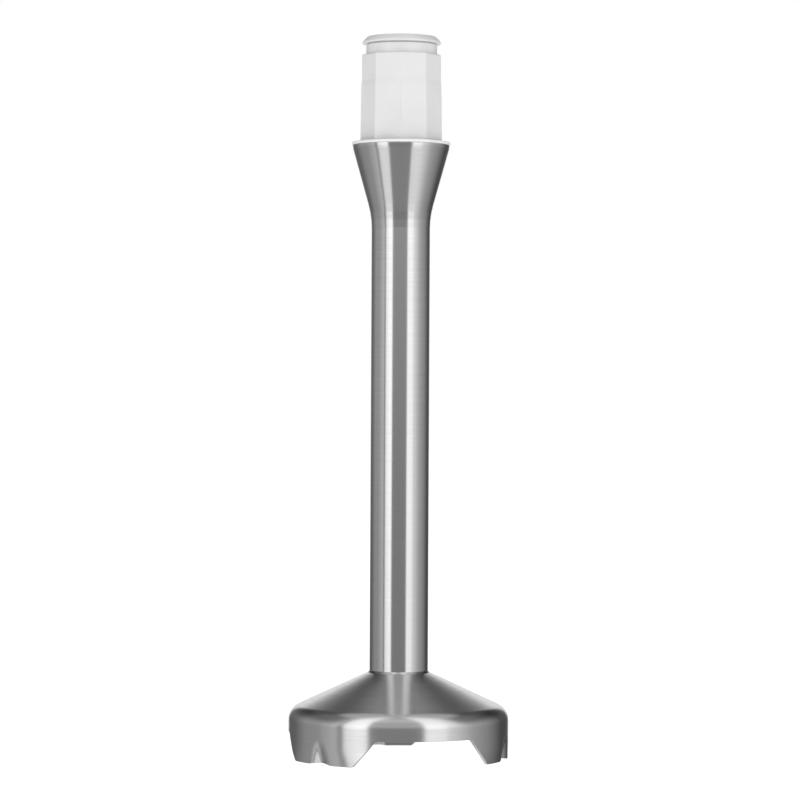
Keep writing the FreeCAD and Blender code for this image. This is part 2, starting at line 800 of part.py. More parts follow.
def make_blade_hub():
    body = turned("blade_hub", [
        (shaft_radius, hub_base),
        (7.0, hub_base),
        (7.0, hub_base + 0.9),
        (4.8, hub_base + 2.2),
        (hub_radius, hub_base + 3.6),
        (hub_radius, hub_top),
        (shaft_radius, hub_top),
    ])
    cross_hole(body, "hub_cross_hole", pin_radius, hub_pin_level, False)
    return body


def make_blade():
    """Two wings from one strip: the wing towards +X bends down and the other bends up."""
    flat_half = 8.0
    top = hub_base
    under = hub_base - blade_thickness
    drop, rise = 2.3, 4.4
    body = new_body("blade")
    side = new_sketch(body, "XZ_Plane", "blade_side")
    outline(side, [
        (-(blade_reach + 1), under + rise),
        (-flat_half, under),
        (flat_half, under),
        (blade_reach + 1, under - drop),
        (blade_reach + 1, top - drop),
        (flat_half, top),
        (-flat_half, top),
        (-(blade_reach + 1), top + rise),
    ])
    extrude(body, "Pad", "blade_strip", side, as_size(30.0), both_ways=True)

    wing = [(3.5, 7.2), (12.0, 6.6), (18.5, 5.2), (22.2, 2.6), (blade_reach, -0.6),
            (21.5, -2.6), (15.0, -4.4), (8.0, -5.6), (5.0, -7.0)]
    planform = [(as_size(x), as_size(y)) for x, y in wing]
    planform += [(-x, -y) for x, y in planform]
    waste = new_sketch(body, "XY_Plane", "blade_planform", hub_base + 10)
    outline(waste, [(-40, -40), (40, -40), (40, 40), (-40, 40)])
    outline(waste, planform)
    extrude(body, "Pocket", "blade_trim", waste, as_size(30.0))
    bore = new_sketch(body, "XY_Plane", "blade_bore", hub_base + 1)
    circle(bore, 0, 0, thread_radius)
    extrude(body, "Pocket", "blade_bore_cut", bore, as_size(4.0))
    return body


def make_blade_nut():
    """A domed hexagon nut on the threaded end, which clamps the blade against its hub."""
    flats = 4.0
    seat = hub_base - blade_thickness
    shoulder = seat - 2.0
    body = new_body("blade_nut")
    hexagon = new_sketch(body, "XY_Plane", "nut_hexagon", shoulder)
    corner = as_size(flats) / cosine(30)
    outline(hexagon, [(corner * cosine(60 * n), corner * sine(60 * n)) for n in range(6)])
    extrude(body, "Pad", "nut_body", hexagon, as_size(2.0))
    turn_profile(body, "Revolution", "nut_dome", [
        (0, shoulder - 1.3),
        (1.6, shoulder - 1.2),
        (2.9, shoulder - 0.7),
        (3.7, shoulder),
        (0, shoulder),
    ])
    turn_profile(body, "Groove", "nut_thread", [
        (0, shaft_base),
        (thread_radius - 0.3, shaft_base),
        (thread_radius, shaft_base + 0.3),
        (thread_radius, seat + 0.1),
        (0, seat + 0.1),
    ])
    return body


# ---------------------------------------------------------------- the assembly

bush_bore = shaft_radius + running_gap
subparts = [
    make_bell_guard(),
    make_shaft_tube(),
    make_coupling_housing(),
    make_coupling_cap(),
    make_trim_ring(),
    make_housing_o_ring(),
    make_inner_guide_tube(),
    bush("upper_bush", bush_bore, upper_bush_radius, upper_bush_base, upper_bush_top, 0.4),
    make_bush_clip(),
    bush("centre_bush", shaft_radius + 0.1, guide_bore, centre_bush_height, centre_bush_height + 8, 0.6),
    bush("lower_bush", bush_bore, lower_bush_radius, lower_bush_base, lower_bush_top, 0.4),
    make_lower_holder(),
    make_holder_o_ring(),
    make_shaft_seal(),
    make_garter_spring(),
    make_seal_cap(),
    make_drive_shaft(),
    make_drive_coupling(),
    cross_pin("coupling_pin", coupling_pin_level, as_size(12.2), True),
    make_thrust_washer(),
    make_spring_washer(),
    make_shaft_clip(),
    make_slinger(),
    make_blade_hub(),
    cross_pin("hub_pin", hub_pin_level, as_size(7.8), False),
    make_blade(),
    make_blade_nut(),
]
doc.recompute()

for thing in doc.Objects:
    if "Invalid" in thing.State or "Error" in thing.State:
        raise RuntimeError(f"{thing.Label} failed: {thing.State}")

os.makedirs("parts", exist_ok=True)
for subpart in subparts:
    shape = subpart.Shape
    if shape.isNull() or not shape.isValid() or not shape.Solids:
        raise RuntimeError(f"{subpart.Label} has no valid solid")
    shape.exportStep(f"parts/{subpart.Label}.step")
    box = shape.BoundBox
    print(f"{subpart.Label:18s} solids {len(shape.Solids)}  volume {shape.Volume:9.1f} mm3  "
          f"z {box.ZMin:7.2f} to {box.ZMax:7.2f}  r {box.XMax:6.2f}")
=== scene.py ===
import json
import math

import bpy
import numpy as np
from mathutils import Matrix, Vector


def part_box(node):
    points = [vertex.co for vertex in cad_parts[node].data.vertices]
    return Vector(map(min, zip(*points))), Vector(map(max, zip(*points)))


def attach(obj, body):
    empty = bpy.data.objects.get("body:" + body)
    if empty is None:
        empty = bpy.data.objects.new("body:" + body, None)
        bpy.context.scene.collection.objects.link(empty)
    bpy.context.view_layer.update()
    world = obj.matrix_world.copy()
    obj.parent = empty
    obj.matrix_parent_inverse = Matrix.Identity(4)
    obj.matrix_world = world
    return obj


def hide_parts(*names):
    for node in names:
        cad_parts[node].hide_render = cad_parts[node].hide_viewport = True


# The blending shaft of an immersion blender, standing on its bell in a light tent.
# The frame is in metres. Profiles are drawn in millimetres as (radius, height) pairs, because
# nearly every piece is turned or spun about the drive shaft's axis.

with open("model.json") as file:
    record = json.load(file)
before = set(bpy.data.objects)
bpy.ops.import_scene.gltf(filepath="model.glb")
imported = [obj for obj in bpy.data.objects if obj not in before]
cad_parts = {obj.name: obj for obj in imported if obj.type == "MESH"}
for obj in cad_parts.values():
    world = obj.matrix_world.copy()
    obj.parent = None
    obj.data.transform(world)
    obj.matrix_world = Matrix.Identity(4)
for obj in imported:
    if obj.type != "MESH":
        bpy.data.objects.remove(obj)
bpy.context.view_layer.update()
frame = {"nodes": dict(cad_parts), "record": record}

MM = 0.001


# ---------------------------------------------------------------- sizes, read from the frame

def span(node):
    """Radius and lowest and highest point of a CAD node, in millimetres."""
    low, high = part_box(node)
    return high.x / MM, low.z / MM, high.z / MM


BELL_RIM, _, COLLAR_TOP = span("bell_guard")
TUBE_MOUTH, TUBE_BASE, MOUTH_TOP = span("shaft_tube")
RING_RADIUS, _, RING_TOP = span("trim_ring")
SKIRT_RADIUS, SKIRT_BASE, CAP_UNDERSIDE = span("coupling_housing")
CAP_RADIUS, SLEEVE_BASE, CAP_TOP = span("coupling_cap")
BLADE_REACH, BLADE_LOW, BLADE_HIGH = span("blade")
_, HUB_BASE, _ = span("blade_hub")

# The bell: a spun sheet with a cone, a rounded shoulder and an upright wall.
RIM_CLEARANCE = 0.05
BELL_RADIUS = BELL_RIM - RIM_CLEARANCE
BELL_SHEET = 1.0
CONE_SLOPE = math.tan(math.radians(25.0))
SHOULDER_HEIGHT = 14.45
SHOULDER_ROUND = 5.0
EDGE_ROUND = 0.15

# The tube, which opens into a straight-sided flare.
TUBE_RADIUS = 8.8
TUBE_WALL = 0.8
FLARE_SLOPE = math.tan(math.radians(15.7))
FLARE_START = 162.4

# The feet, the windows between them, and the flute pressed into each foot's middle.
FEET = 3
FOOT_PITCH = 2 * math.pi / FEET
FOOT_SPREAD = 2.1
FOOT_DRAW_IN = 0.26
FOOT_EASE_HEIGHT = 5.5
WINDOW_HEIGHT = 7.8
WINDOW_HALF_TOP = 14.5
WINDOW_HALF_BASE = 20.5
WINDOW_TOP_ROUND = 0.7
WINDOW_FOOT_ROUND = 0.5
WINDOW_TURN = math.radians(0.9)
FLUTE_HEIGHT = 7.3
FLUTE_DEPTH = 2.5
FLUTE_HALF_WIDTH = 4.8
FLUTE_BLUNTNESS = 1.1
FLUTE_TURN = math.radians(1.5)
FLUTE_LIFT = 0.45

# The plug: ten-sided, with a ledge, a neck and a shallow step part of the way up.
PLUG_TURN = math.radians(-14.7)
PLUG_CORNERS = [math.radians(a) for a in (0, 38, 76, 104, 142, 180, 218, 256, 284, 322)]
PLUG_CORNER_SOFTNESS = 0.12
PLUG_STEP = 202.2
LEDGE = 210.9
CAP_GAP = 0.4
CAP_RECESS = 0.8
NECK_RADIUS = 10.68
SLEEVE_RADIUS = 9.6
RING_GROOVE_BASE = MOUTH_TOP - 1.0
MOULD_LINE_FOOT = 187.5
MOULD_LINE_TOP = 204.5
MOULD_LINE_DEPTH = 0.26
MOULD_LINE_HALF_WIDTH = 0.28
MOULD_LINE_RADIUS = 12.3

BLADE_THICK = 1.2
BLADE_FLAT_HALF = 8.0
GRIND_WIDTH = 2.2
EDGE_SHARE = 0.08

# How finely the meshes are divided, and the bend in them that stays a sharp edge.
ARC_STEP_DEGREES = 8
SHORT_RUN = 0.8
RUN_END = 0.1
SHARP_BEND = math.radians(32)


# ---------------------------------------------------------------- mesh tools

def add_piece(name, points, faces, body, slot, replaced):
    """A smooth-shaded mesh from points in millimetres, riding on a body in place of CAD nodes."""
    mesh = bpy.data.meshes.new(name)
    mesh.from_pydata((np.asarray(points) * MM).tolist(), [], faces)
    mesh.validate()
    mesh.shade_smooth()
    mesh.set_sharp_from_angle(angle=SHARP_BEND)
    piece = bpy.data.objects.new(name, mesh)
    bpy.context.scene.collection.objects.link(piece)
    mesh.materials.append(material_of(slot))
    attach(piece, body)
    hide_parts(*replaced)


def ring_faces(columns, rows):
    """Quads of a grid that closes on itself both ways, like the skin of a ring."""
    faces = []
    for column in range(columns):
        here, after = column * rows, (column + 1) % columns * rows
        for row in range(rows):
            below = (row + 1) % rows
            faces.append((here + row, here + below, after + below, after + row))
    return faces


def rounded(corners, longest=1.5):
    """A closed outline of (x, y, rounding) corners: arcs at the corners, short steps between."""
    outline = []
    for index, (x, y, rounding) in enumerate(corners):
        corner = np.array((x, y), float)
        before = np.array(corners[index - 1][:2], float) - corner
        after = np.array(corners[(index + 1) % len(corners)][:2], float) - corner
        to_before, to_after = before / np.linalg.norm(before), after / np.linalg.norm(after)
        turn = math.pi - math.acos(float(np.clip(to_before @ to_after, -1, 1)))
        if rounding <= 0 or turn < 1e-3:
            outline.append(corner)
            continue
        reach = rounding * math.tan(turn / 2)
        inward = (to_before + to_after) / np.linalg.norm(to_before + to_after)
        centre = corner + inward * (rounding / math.cos(turn / 2))
        start, end = corner + to_before * reach - centre, corner + to_after * reach - centre
        steps = max(3, math.ceil(math.degrees(turn) / ARC_STEP_DEGREES))
        for step in range(steps + 1):
            passed = turn * step / steps
            blend = start * math.sin(turn - passed) + end * math.sin(passed)
            outline.append(centre + blend / math.sin(turn))
    return divided(outline, longest)


def divided(outline, longest):
    """The closed outline with its long runs divided, close to their ends as well."""
    points = []
    for here, there in zip(outline, outline[1:] + outline[:1]):
        points.append(here)
        length = float(np.linalg.norm(there - here))
        if length > SHORT_RUN:
            inner = np.linspace(RUN_END, length - RUN_END, max(2, math.ceil(length / longest) + 1))
            points += [here + (there - here) * (d / length) for d in inner]
    return np.array(points)


def add_skin(name, angle, radius, height, body, slot, replaced):
    """A piece from the radius and height of its outline's points at each angle from -Y.

    Outlines run up the outside and down the inside, which turns the faces outward.
    """
    points = np.stack([radius * np.sin(angle), -radius * np.cos(angle), height], axis=2)
    faces = [face[::-1] for face in ring_faces(*radius.shape)]
    add_piece(name, points.reshape(-1, 3), faces, body, slot, replaced)


def repeated(outline, angle):
    """The outline's radii and heights, once for each angle."""
    radius = np.repeat(outline[None, :, 0], len(angle), 0)
    height = np.repeat(outline[None, :, 1], len(angle), 0)
    return radius, height


def turned(name, corners, body, slot, replaced, columns=256):
    """A piece turned about Z from an outline of (radius, height, rounding) corners."""
    angle = np.linspace(0, 2 * math.pi, columns, endpoint=False)[:, None]
    add_skin(name, angle, *repeated(rounded(corners), angle), body, slot, replaced)


def all_round(angles):
    """The angles within one turn, sorted, as a column and without repeats."""
    return np.unique(np.round(np.asarray(angles) % (2 * math.pi), 5))[:, None]


def smooth_min(a, b, blend):
    """The lower of a and b, with a rounded valley of that width where they cross."""
    share = np.clip(0.5 + 0.5 * (b - a) / blend, 0, 1)
    return b * (1 - share) + a * share - blend * share * (1 - share)


def smooth_step(x):
    """0 below 0, 1 above 1, and an even S between."""
    x = np.clip(x, 0, 1)
    return x * x * (3 - 2 * x)


# ---------------------------------------------------------------- materials

def new_material(name):
    """A new material, its nodes and links, and its Principled shader."""
    material = bpy.data.materials.new(name)
    material.use_nodes = True
    nodes, links = material.node_tree.nodes, material.node_tree.links
    return material, nodes, links, nodes["Principled BSDF"]


def math_node(nodes, links, operation, first, second):
    """The result of an operation on two values, each a number or a socket."""
    node = nodes.new("ShaderNodeMath")
    node.operation = operation
    for socket, value in zip(node.inputs, (first, second)):
        if isinstance(value, (int, float)):
            socket.default_value = value
        else:
            links.new(value, socket)
    return node.outputs[0]


def noise_node(nodes, links, vector, scale, detail=2.0, roughness=0.5):
    """Noise of 0 to 1 at a place, with a scale per metre."""
    node = nodes.new("ShaderNodeTexNoise")
    node.inputs["Scale"].default_value = scale
    node.inputs["Detail"].default_value = detail
    node.inputs["Roughness"].default_value = roughness
    links.new(vector, node.inputs["Vector"])
    return node.outputs["Fac"]


def between(nodes, links, value, low, high):
    """A 0 to 1 noise mapped to a range, with its middle stretched out."""
    node = nodes.new("ShaderNodeMapRange")
    node.inputs["From Min"].default_value = 0.3
    node.inputs["From Max"].default_value = 0.7
    node.inputs["To Min"].default_value = low
    node.inputs["To Max"].default_value = high
    links.new(value, node.inputs["Value"])
    return node.outputs["Result"]


def tint(nodes, links, value, dark, light):
    """A colour between dark and light."""
    node = nodes.new("ShaderNodeMix")
    node.data_type = "RGBA"
    factor, colour_a, colour_b, mixed = node.inputs[0], node.inputs[6], node.inputs[7], node.outputs[2]
    colour_a.default_value = (*dark, 1)
    colour_b.default_value = (*light, 1)
    links.new(value, factor)
    return mixed


def bump(nodes, links, shader, height, distance):
    """Relief on the shader, as deep as the distance in metres."""
    node = nodes.new("ShaderNodeBump")
    node.inputs["Strength"].default_value = 1.0
    node.inputs["Distance"].default_value = distance
    links.new(height, node.inputs["Height"])
    links.new(node.outputs["Normal"], shader.inputs["Normal"])


def object_place(nodes):
    return nodes.new("ShaderNodeTexCoord").outputs["Object"]


BRUSH_LINES_PER_METRE = 2600.0
BRUSH_BREAKS_PER_METRE = 45.0
BRUSH_DEPTH = 0.0000015


def lathe_lines(nodes, links, place):
    """Coordinates in which noise turns into fine lines that run round the Z axis."""
    split = nodes.new("ShaderNodeSeparateXYZ")
    links.new(place, split.inputs[0])
    flat = nodes.new("ShaderNodeCombineXYZ")
    links.new(split.outputs["X"], flat.inputs["X"])
    links.new(split.outputs["Y"], flat.inputs["Y"])
    length = nodes.new("ShaderNodeVectorMath")
    length.operation = "LENGTH"
    links.new(flat.outputs[0], length.inputs[0])
    along = math_node(nodes, links, "ADD", split.outputs["Z"], length.outputs["Value"])
    joined = nodes.new("ShaderNodeCombineXYZ")
    for axis, value, scale in (
        ("X", split.outputs["X"], BRUSH_BREAKS_PER_METRE),
        ("Y", split.outputs["Y"], BRUSH_BREAKS_PER_METRE),
        ("Z", along, BRUSH_LINES_PER_METRE),
    ):
        links.new(math_node(nodes, links, "MULTIPLY", value, scale), joined.inputs[axis])
    return joined.outputs[0]


def brushed_steel(name, dark, light, roughness, anisotropy=0.8):
    """Stainless steel brushed round the Z axis, so its highlights spread along the shaft."""
    material, nodes, links, shader = new_material(name)
    place = object_place(nodes)
    lines = noise_node(nodes, links, lathe_lines(nodes, links, place), 1.0, 3.0, 0.6)
    clouds = noise_node(nodes, links, place, 70.0, 3.0)
    shade = math_node(nodes, links, "ADD", math_node(nodes, links, "MULTIPLY", lines, 0.75),
                      math_node(nodes, links, "MULTIPLY", clouds, 0.25))
    links.new(tint(nodes, links, between(nodes, links, shade, 0.0, 1.0), dark, light),
              shader.inputs["Base Color"])
    links.new(between(nodes, links, shade, roughness * 1.15, roughness * 0.85), shader.inputs["Roughness"])
    shader.inputs["Metallic"].default_value = 1.0
    shader.inputs["Anisotropic"].default_value = anisotropy
    shader.inputs["Anisotropic Rotation"].default_value = 0.25
    tangent = nodes.new("ShaderNodeTangent")
    tangent.direction_type = "RADIAL"
    tangent.axis = "Z"
    links.new(tangent.outputs[0], shader.inputs["Tangent"])
    bump(nodes, links, shader, lines, BRUSH_DEPTH)
    return material


def moulded_plastic(name, dark, light, roughness, glow=0.0):
    """Satin moulded plastic, with a faint texture and cloudiness."""
    material, nodes, links, shader = new_material(name)
    place = object_place(nodes)
    grain = noise_node(nodes, links, place, 2500.0, 2.0)
    clouds = noise_node(nodes, links, place, 110.0, 3.0)
    links.new(tint(nodes, links, between(nodes, links, clouds, 0.0, 1.0), dark, light),
              shader.inputs["Base Color"])
    links.new(between(nodes, links, grain, roughness * 0.9, roughness * 1.1), shader.inputs["Roughness"])
    shader.inputs["Subsurface Weight"].default_value = glow
    shader.inputs["Subsurface Radius"].default_value = (0.0012, 0.0012, 0.0012)
    bump(nodes, links, shader, grain, 0.00001)
    return material


def matt_rubber(name):
    """Black rubber with a fine matt grain."""
    material, nodes, links, shader = new_material(name)
    place = object_place(nodes)
    grain = noise_node(nodes, links, place, 900.0, 4.0)
    links.new(tint(nodes, links, grain, (0.018, 0.018, 0.019), (0.05, 0.05, 0.052)),
              shader.inputs["Base Color"])
    links.new(between(nodes, links, grain, 0.6, 0.8), shader.inputs["Roughness"])
    shader.inputs["Sheen Weight"].default_value = 0.15
    bump(nodes, links, shader, grain, 0.00003)
    return material


def sintered_bronze(name):
    """Pressed and sintered bronze, with its pores."""
    material, nodes, links, shader = new_material(name)
    place = object_place(nodes)
    pores = noise_node(nodes, links, place, 1800.0, 4.0, 0.7)
    links.new(tint(nodes, links, pores, (0.26, 0.16, 0.08), (0.62, 0.42, 0.22)),
              shader.inputs["Base Color"])
    links.new(between(nodes, links, pores, 0.35, 0.6), shader.inputs["Roughness"])
    shader.inputs["Metallic"].default_value = 1.0
    bump(nodes, links, shader, pores, 0.00002)
    return material


STEEL_DARK, STEEL_LIGHT = (0.60, 0.60, 0.603), (0.64, 0.64, 0.643)
MATERIALS = {
    "bell_steel": lambda name: brushed_steel(name, STEEL_DARK, STEEL_LIGHT, 0.22),
    "tube_steel": lambda name: brushed_steel(name, STEEL_DARK, STEEL_LIGHT, 0.20),
    "blade_steel": lambda name: brushed_steel(name, STEEL_DARK, STEEL_LIGHT, 0.24, 0.5),
    "bright_steel": lambda name: brushed_steel(name, (0.60, 0.60, 0.61), (0.72, 0.72, 0.73), 0.22, 0.6),
    "spring_steel": lambda name: brushed_steel(name, (0.36, 0.36, 0.37), (0.48, 0.48, 0.50), 0.30, 0.4),
    "white_plug": lambda name: moulded_plastic(name, (0.75, 0.75, 0.75), (0.78, 0.78, 0.78), 0.38, 0.1),
    "white_cap": lambda name: moulded_plastic(name, (0.75, 0.75, 0.75), (0.78, 0.78, 0.78), 0.36, 0.1),
    "grey_trim": lambda name: moulded_plastic(name, (0.84, 0.84, 0.84), (0.87, 0.87, 0.87), 0.40, 0.05),
    "grey_plastic": lambda name: moulded_plastic(name, (0.30, 0.31, 0.32), (0.35, 0.36, 0.37), 0.42),
    "inner_plastic": lambda name: moulded_plastic(name, (0.66, 0.66, 0.63), (0.72, 0.72, 0.70), 0.45),
    "bush_plastic": lambda name: moulded_plastic(name, (0.68, 0.65, 0.55), (0.74, 0.72, 0.62), 0.40),
    "black_plastic": lambda name: moulded_plastic(name, (0.018, 0.018, 0.019), (0.035, 0.035, 0.037), 0.36),
    "bronze": sintered_bronze,
    "seal_rubber": matt_rubber,
}
finishes = {}


def material_of(slot):
    """The procedural finish of a material slot, made once."""
    if slot not in finishes:
        finishes[slot] = MATERIALS[slot](f"{slot}_finish")
    return finishes[slot]


def dress_cad_nodes():
    """Every CAD node gets the procedural material of its own slot in the record."""
    for subpart in frame["record"]["subparts"]:
        mesh = frame["nodes"][subpart["node"]].data
        mesh.materials.clear()
        mesh.materials.append(material_of(subpart["material_slot"]))


# ---------------------------------------------------------------- the bell

def window_edge(angle):
    """Height of the bell's lower edge at angles from -Y: the feet, and the windows between."""
    from_middle = np.abs((angle - WINDOW_TURN + FOOT_PITCH / 2) % FOOT_PITCH - FOOT_PITCH / 2)
    across = np.sin(from_middle) * BELL_RADIUS
    slope = WINDOW_HEIGHT / (WINDOW_HALF_BASE - WINDOW_HALF_TOP)
    capped = smooth_min((WINDOW_HALF_BASE - across) * slope, WINDOW_HEIGHT, WINDOW_TOP_ROUND)
    return -smooth_min(-capped, 0.0, WINDOW_FOOT_ROUND)


def flute_share(angle, height):
    """How far into a flute a point of the wall is: 1 on its middle line at the rim, 0 outside."""
    from_flute = (angle - FLUTE_TURN) % FOOT_PITCH - FOOT_PITCH / 2
    half_width = FLUTE_HALF_WIDTH * flute_left(height)**0.3 + 1e-6
    across = np.hypot(from_flute * BELL_RADIUS, FLUTE_BLUNTNESS)
    return np.clip(1 - across / half_width, 0, 1)


def flute_left(height):
    """The share of a flute's height that is left above a point: 1 at the rim, 0 at its top."""
    return np.clip(1 - height / FLUTE_HEIGHT, 0, 1)


def foot_ease(angle, height):
    """How far a foot's wall stands out near the rim: in at its middle, out at its sides."""
    from_foot = np.abs(angle % FOOT_PITCH - FOOT_PITCH / 2)
    spread = FOOT_SPREAD * from_foot**2 - FOOT_DRAW_IN
    return spread * smooth_step(1 - height / FOOT_EASE_HEIGHT)


def bell_angles():
    """Angles of the bell's columns: even, with more across the windows' slanted sides and flutes."""
    even_columns, side_columns, flute_columns = 330, 36, 50
    flute_reach = 0.17
    angles = list(np.linspace(0, 2 * math.pi, even_columns, endpoint=False))
    first = math.asin((WINDOW_HALF_TOP - 1.5) / BELL_RADIUS)
    last = math.asin((WINDOW_HALF_BASE + 1.0) / BELL_RADIUS)
    for foot in range(FEET):
        middle = foot * FOOT_PITCH
        for side in (-1, 1):
            angles += list(middle + side * np.linspace(first, last, side_columns))
        across_flute = np.linspace(-flute_reach, flute_reach, flute_columns)
        angles += list(middle + FOOT_PITCH / 2 + across_flute)
    return all_round(angles)


def bell_outline():
    """The bell's section, listed down the outside and up the inside, and then turned round."""
    def cone(radius):
        return SHOULDER_HEIGHT + (BELL_RADIUS - radius) * CONE_SLOPE

    drop = BELL_SHEET * math.hypot(1, CONE_SLOPE)
    bore = TUBE_RADIUS - TUBE_WALL
    collar_bore = bore - BELL_SHEET
    inner = BELL_RADIUS - BELL_SHEET
    weld_radius, weld_lip = TUBE_RADIUS + 0.55, 0.35
    row_height = 0.39
    wall_rows = np.arange(row_height, SHOULDER_HEIGHT - 0.7 * SHOULDER_ROUND, row_height)
    outline = rounded([
        (bore, COLLAR_TOP, 0.1),
        (bore, TUBE_BASE, 0),
        (TUBE_RADIUS, TUBE_BASE, 0),
        (TUBE_RADIUS, TUBE_BASE + weld_lip, 0),
        (weld_radius, cone(weld_radius), 0.8),
        (BELL_RADIUS, SHOULDER_HEIGHT, SHOULDER_ROUND),
        *[(BELL_RADIUS, row, 0) for row in wall_rows[::-1]],
        (BELL_RADIUS, 0, EDGE_ROUND),
        (inner, 0, EDGE_ROUND),
        *[(inner, row, 0) for row in wall_rows],
        (inner, cone(inner) - drop, SHOULDER_ROUND - BELL_SHEET),
        (collar_bore, cone(collar_bore) - drop, 0.4),
        (collar_bore, COLLAR_TOP, 0.1),
    ])
    return outline[::-1]


def make_bell():
    """The spun sheet, with its wall cut into feet and windows and pressed into flutes."""
    angle = bell_angles()
    radius, height = repeated(bell_outline(), angle)
    wall_top = SHOULDER_HEIGHT - SHOULDER_ROUND * 0.62
    rim_lift = FLUTE_LIFT * np.sqrt(smooth_step(flute_share(angle, 0.0) * 1.4))
    lowest = window_edge(angle) + rim_lift
    on_wall = height < wall_top
    height = np.where(on_wall, lowest + height * (wall_top - lowest) / wall_top, height)
    dent = FLUTE_DEPTH * flute_left(height)**0.6 * flute_share(angle, height)**2
    on_wall &= radius > BELL_RADIUS - 2 * BELL_SHEET
    radius = np.where(on_wall, radius + foot_ease(angle, height) - dent, radius)
    add_skin("bell", angle, radius, height, "shaft_body", "bell_steel", ["bell_guard"])


# ---------------------------------------------------------------- tube, ring and cap

def make_tube():
    """The straight tube with its flared mouth, one outline up the outside and down the inside."""
    bore = TUBE_RADIUS - TUBE_WALL
    thick = TUBE_WALL * math.hypot(1, FLARE_SLOPE)
    mouth_bore = TUBE_MOUTH - TUBE_WALL
    lip = FLARE_START + (TUBE_MOUTH - TUBE_RADIUS) / FLARE_SLOPE
    lip_inside = FLARE_START + (mouth_bore - TUBE_RADIUS + thick) / FLARE_SLOPE
    bend_inside = FLARE_START + (thick - TUBE_WALL) / FLARE_SLOPE
    turned("flared_tube", [
        (TUBE_RADIUS, TUBE_BASE, 0.1),
        (TUBE_RADIUS, FLARE_START, 26),
        (TUBE_MOUTH, lip, 6),
        (TUBE_MOUTH, MOUTH_TOP, 0.2),
        (mouth_bore, MOUTH_TOP, 0.2),
        (mouth_bore, lip_inside, 5),
        (bore, bend_inside, 26.8),
        (bore, TUBE_BASE, 0),
    ], "shaft_body", "tube_steel", ["shaft_tube"])


def make_ring():
    """The thin ring between the steel mouth and the plug, with a tongue that reaches inside."""
    bore, tongue_bore, tongue_radius = 12.7, 12.9, 13.3
    tongue_foot = MOUTH_TOP - 0.6
    turned("seat_ring", [
        (bore, MOUTH_TOP, 0),
        (tongue_bore, MOUTH_TOP, 0),
        (tongue_bore, tongue_foot, 0),
        (tongue_radius, tongue_foot, 0),
        (tongue_radius, MOUTH_TOP, 0),
        (RING_RADIUS, MOUTH_TOP, 0.12),
        (RING_RADIUS, RING_TOP, 0.25),
        (bore, RING_TOP, 0.1),
    ], "shaft_body", "grey_trim", ["trim_ring"])


def make_cap():
    """The cap: a flange whose bevel the latches ride over, and the sleeve inside the plug."""
    mouth = 8.4
    turned("plug_cap", [
        (mouth, SLEEVE_BASE, 0.1),
        (SLEEVE_RADIUS, SLEEVE_BASE, 0.1),
        (SLEEVE_RADIUS, CAP_UNDERSIDE, 0),
        (CAP_RADIUS, CAP_UNDERSIDE, 0.15),
        (CAP_RADIUS - 0.05, CAP_UNDERSIDE + 0.55, 0.5),
        (CAP_RADIUS - 0.7, CAP_UNDERSIDE + 1.35, 1.6),
        (CAP_RADIUS - 1.55, CAP_TOP, 0.35),
        (mouth, CAP_TOP, 0.5),
    ], "shaft_body", "white_cap", ["coupling_cap"])


# ---------------------------------------------------------------- the plug

def plug_radius(angle, corner_radius):
    """Radius of the ten-sided plug at angles from -Y, with softened corners."""
    far, reach = 1e3, 1.1
    radius = np.full_like(corner_radius, far)
    corners = [PLUG_TURN + corner for corner in PLUG_CORNERS] + [PLUG_TURN + 2 * math.pi]
    for first, second in zip(corners, corners[1:]):
        middle, half = (first + second) / 2, (second - first) / 2
        away = np.abs((angle - middle + math.pi) % (2 * math.pi) - math.pi)
        flat = corner_radius * math.cos(half) / np.cos(np.clip(away, 0, reach))
        radius = smooth_min(radius, np.where(away < reach, flat, far), PLUG_CORNER_SOFTNESS)
    return radius


def mould_line(angle, height):
    """Depth of the fine line that the mould leaves on the front and back corners."""
    from_line = (angle - PLUG_TURN + math.pi / 2) % math.pi - math.pi / 2
    across = np.abs(from_line) * MOULD_LINE_RADIUS / MOULD_LINE_HALF_WIDTH
    fade_in = smooth_step((height - MOULD_LINE_FOOT) / 4)
    fade_out = smooth_step((MOULD_LINE_TOP - height) / 3)
    return MOULD_LINE_DEPTH * fade_in * fade_out * np.clip(1 - across, 0, 1)


def plug_outline():
    """The plug's section: the skirt inside the flare, the body, the ledge, the neck, the bores."""
    guide_bore, bush_bore = 7.95, 5.5
    bush_base, bush_top = 188.3, SLEEVE_BASE - 0.5
    skirt_foot = TUBE_RADIUS + (SKIRT_BASE - FLARE_START) * FLARE_SLOPE - 0.95
    base_corner, step_corner, top_corner = 12.6, 12.34, 12.16
    recess = NECK_RADIUS - CAP_RECESS
    return rounded([
        (skirt_foot, SKIRT_BASE, 0.2),
        (SKIRT_RADIUS, MOUTH_TOP - 1.3, 0.4),
        (SKIRT_RADIUS, RING_GROOVE_BASE, 0.1),
        (base_corner, RING_GROOVE_BASE, 0),
        (step_corner, PLUG_STEP - 0.6, 2.5),
        (top_corner, PLUG_STEP + 0.9, 2.5),
        (top_corner, LEDGE, 0.45),
        (NECK_RADIUS, LEDGE, 0.25),
        (NECK_RADIUS, CAP_UNDERSIDE - CAP_GAP, 0.1),
        (recess, CAP_UNDERSIDE - CAP_GAP, 0),
        (recess, CAP_UNDERSIDE, 0),
        (SLEEVE_RADIUS, CAP_UNDERSIDE, 0),
        (SLEEVE_RADIUS, bush_top, 0.1),
        (bush_bore, bush_top, 0.1),
        (bush_bore, bush_base, 0.1),
        (guide_bore, bush_base, 0.1),
        (guide_bore, SKIRT_BASE, 0.1),
    ], longest=1.2)


